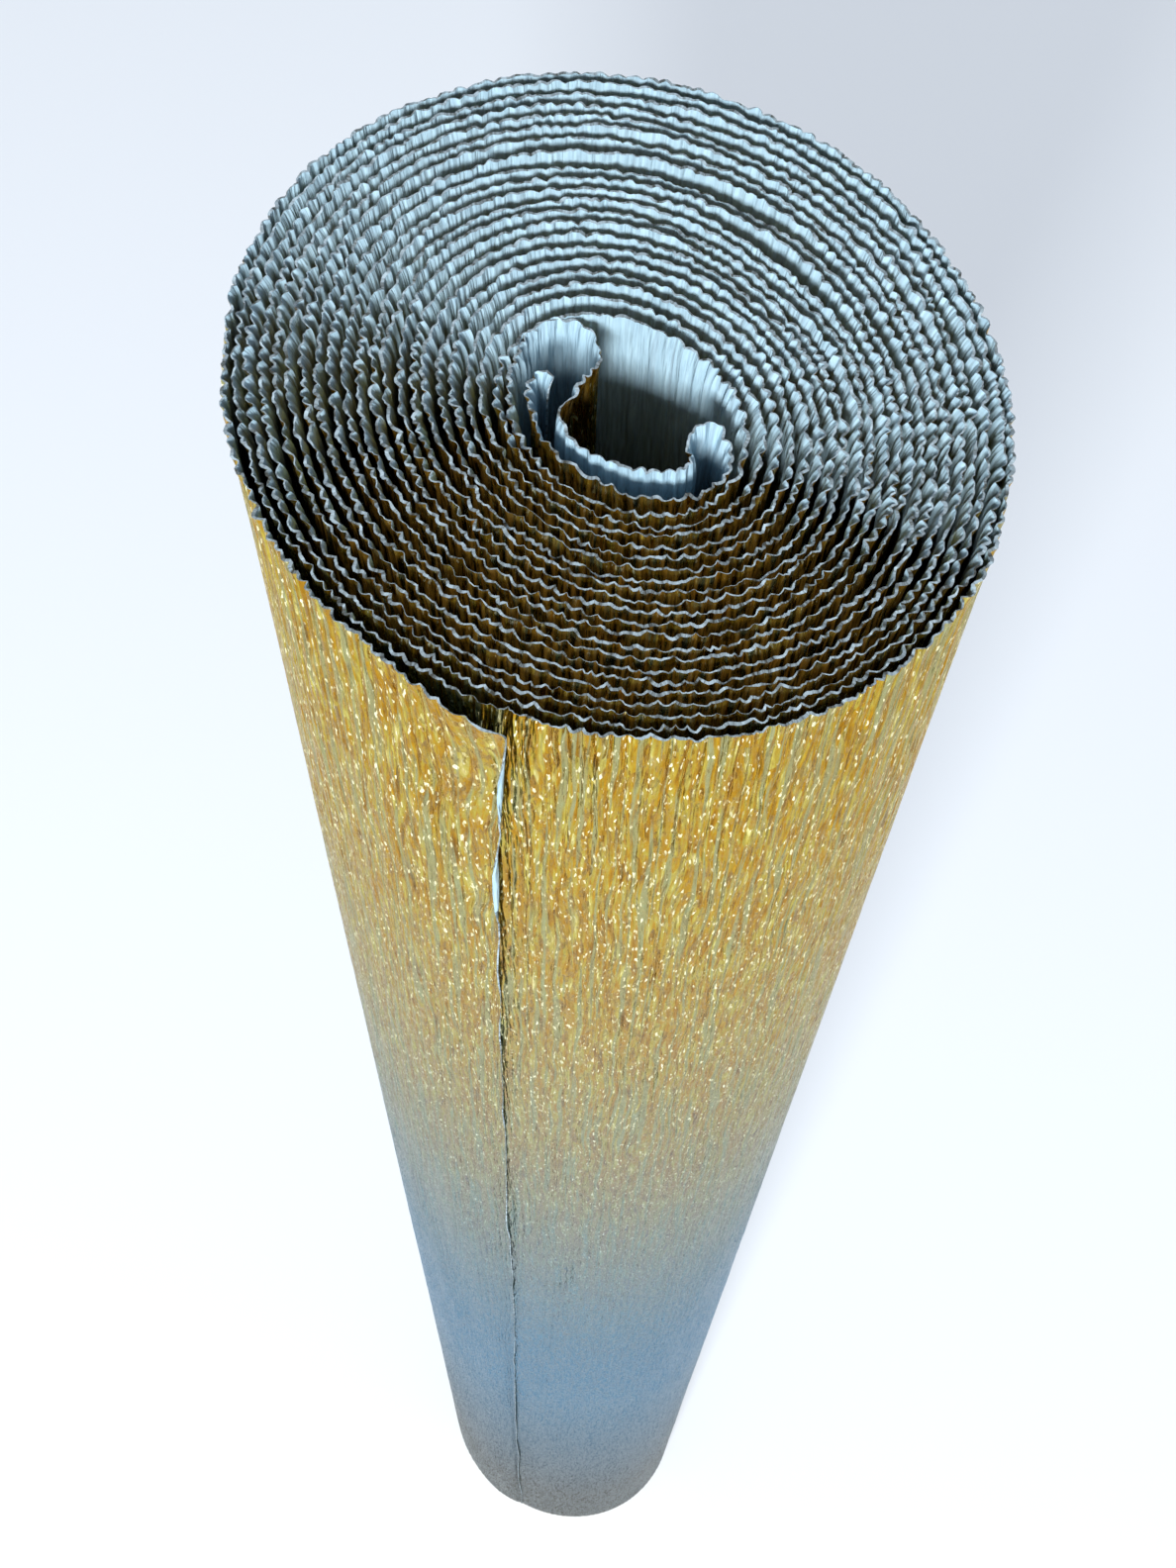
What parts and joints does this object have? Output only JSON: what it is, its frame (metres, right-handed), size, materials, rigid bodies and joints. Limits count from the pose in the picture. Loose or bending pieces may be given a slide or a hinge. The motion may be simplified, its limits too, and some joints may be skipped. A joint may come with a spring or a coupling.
{
  "type": "gift wrap roll",
  "caption": "Coreless roll of foil-faced crepe wrapping paper, standing on end, with a folded inner end, a peeling outer lap and turns that telescope.",
  "frame": {"origin": "middle of the roll's bounding box in plan, at the bottom end that it stands on", "axes": "+Z along the roll from its bottom end to its top end, -Y towards the side that the free edge is on, +X to the right seen from there"},
  "size_m": [0.0567, 0.0553, 0.5],
  "materials": {
    "foil_face": "bright gold metallic foil on creped paper",
    "paper_turns": "matt white creped paper with gold foil on its outer face"
  },
  "bodies": {
    "outer_turns": {"turn_19": "paper_turns", "turn_20": "paper_turns", "turn_21": "foil_face"},
    "lap_1": {"lap_strip_1": "foil_face"},
    "lap_2": {"lap_strip_2": "foil_face"},
    "lap_3": {"lap_strip_3": "foil_face"},
    "lap_4": {"lap_strip_4": "foil_face"},
    "lap_5": {"lap_strip_5": "foil_face"},
    "lap_6": {"lap_strip_6": "foil_face"},
    "lap_7": {"lap_strip_7": "foil_face"},
    "lap_8": {"lap_strip_8": "foil_face"},
    "turns_17_18": {"turn_17": "paper_turns", "turn_18": "paper_turns"},
    "turns_15_16": {"turn_15": "paper_turns", "turn_16": "paper_turns"},
    "turns_13_14": {"turn_13": "paper_turns", "turn_14": "paper_turns"},
    "turns_11_12": {"turn_11": "paper_turns", "turn_12": "paper_turns"},
    "turns_09_10": {"turn_09": "paper_turns", "turn_10": "paper_turns"},
    "turns_07_08": {"turn_07": "paper_turns", "turn_08": "paper_turns"},
    "turns_05_06": {"turn_05": "paper_turns", "turn_06": "paper_turns"},
    "turns_03_04": {"turn_03": "paper_turns", "turn_04": "paper_turns"},
    "core": {"turn_01": "paper_turns", "turn_02": "paper_turns", "inner_loop": "paper_turns", "inner_side_wall": "paper_turns", "inner_near_wall": "paper_turns", "inner_hairpin": "paper_turns", "inner_return": "paper_turns", "inner_tail": "paper_turns"}
  },
  "joints": [
    {"name": "lap_peel_1", "type": "hinge", "parent": "outer_turns", "child": "lap_1", "pos_m": [-0.00144, 0.0274, 0], "axis": [0, 0, -1], "range_deg": [0, 20], "stiffness_Nm_per_rad": 0.0015},
    {"name": "lap_peel_2", "type": "hinge", "parent": "lap_1", "child": "lap_2", "pos_m": [-0.01098, 0.02619, 0], "axis": [0, 0, -1], "range_deg": [0, 20], "stiffness_Nm_per_rad": 0.0015},
    {"name": "lap_peel_3", "type": "hinge", "parent": "lap_2", "child": "lap_3", "pos_m": [-0.0192, 0.02177, 0], "axis": [0, 0, -1], "range_deg": [0, 20], "stiffness_Nm_per_rad": 0.0015},
    {"name": "lap_peel_4", "type": "hinge", "parent": "lap_3", "child": "lap_4", "pos_m": [-0.0251, 0.01468, 0], "axis": [0, 0, -1], "range_deg": [0, 20], "stiffness_Nm_per_rad": 0.0015},
    {"name": "lap_peel_5", "type": "hinge", "parent": "lap_4", "child": "lap_5", "pos_m": [-0.02797, 0.00576, 0], "axis": [0, 0, -1], "range_deg": [0, 20], "stiffness_Nm_per_rad": 0.0015},
    {"name": "lap_peel_6", "type": "hinge", "parent": "lap_5", "child": "lap_6", "pos_m": [-0.02745, -0.00392, 0], "axis": [0, 0, -1], "range_deg": [0, 20], "stiffness_Nm_per_rad": 0.0015},
    {"name": "lap_peel_7", "type": "hinge", "parent": "lap_6", "child": "lap_7", "pos_m": [-0.02359, -0.01319, 0], "axis": [0, 0, -1], "range_deg": [0, 20], "stiffness_Nm_per_rad": 0.0015},
    {"name": "lap_peel_8", "type": "hinge", "parent": "lap_7", "child": "lap_8", "pos_m": [-0.01694, -0.02104, 0], "axis": [0, 0, -1], "range_deg": [0, 20], "stiffness_Nm_per_rad": 0.0015},
    {"name": "turns_17_18_slide", "type": "slide", "parent": "outer_turns", "child": "turns_17_18", "axis": [0, 0, 1], "range_m": [0, 0.005]},
    {"name": "turns_15_16_slide", "type": "slide", "parent": "turns_17_18", "child": "turns_15_16", "axis": [0, 0, 1], "range_m": [0, 0.005]},
    {"name": "turns_13_14_slide", "type": "slide", "parent": "turns_15_16", "child": "turns_13_14", "axis": [0, 0, 1], "range_m": [0, 0.005]},
    {"name": "turns_11_12_slide", "type": "slide", "parent": "turns_13_14", "child": "turns_11_12", "axis": [0, 0, 1], "range_m": [0, 0.005]},
    {"name": "turns_09_10_slide", "type": "slide", "parent": "turns_11_12", "child": "turns_09_10", "axis": [0, 0, 1], "range_m": [0, 0.005]},
    {"name": "turns_07_08_slide", "type": "slide", "parent": "turns_09_10", "child": "turns_07_08", "axis": [0, 0, 1], "range_m": [0, 0.005]},
    {"name": "turns_05_06_slide", "type": "slide", "parent": "turns_07_08", "child": "turns_05_06", "axis": [0, 0, 1], "range_m": [0, 0.005]},
    {"name": "turns_03_04_slide", "type": "slide", "parent": "turns_05_06", "child": "turns_03_04", "axis": [0, 0, 1], "range_m": [0, 0.005]},
    {"name": "core_slide", "type": "slide", "parent": "turns_03_04", "child": "core", "axis": [0, 0, 1], "range_m": [0, 0.005]}
  ],
  "couplings": [
    {"joint": "lap_peel_2", "follows": "lap_peel_1", "ratio": 1},
    {"joint": "lap_peel_3", "follows": "lap_peel_1", "ratio": 1},
    {"joint": "lap_peel_4", "follows": "lap_peel_1", "ratio": 1},
    {"joint": "lap_peel_5", "follows": "lap_peel_1", "ratio": 1},
    {"joint": "lap_peel_6", "follows": "lap_peel_1", "ratio": 1},
    {"joint": "lap_peel_7", "follows": "lap_peel_1", "ratio": 1},
    {"joint": "lap_peel_8", "follows": "lap_peel_1", "ratio": 1},
    {"joint": "turns_15_16_slide", "follows": "turns_17_18_slide", "ratio": 1},
    {"joint": "turns_13_14_slide", "follows": "turns_17_18_slide", "ratio": 1},
    {"joint": "turns_11_12_slide", "follows": "turns_17_18_slide", "ratio": 1},
    {"joint": "turns_09_10_slide", "follows": "turns_17_18_slide", "ratio": 1},
    {"joint": "turns_07_08_slide", "follows": "turns_17_18_slide", "ratio": 1},
    {"joint": "turns_05_06_slide", "follows": "turns_17_18_slide", "ratio": 1},
    {"joint": "turns_03_04_slide", "follows": "turns_17_18_slide", "ratio": 1},
    {"joint": "core_slide", "follows": "turns_17_18_slide", "ratio": 1}
  ]
}
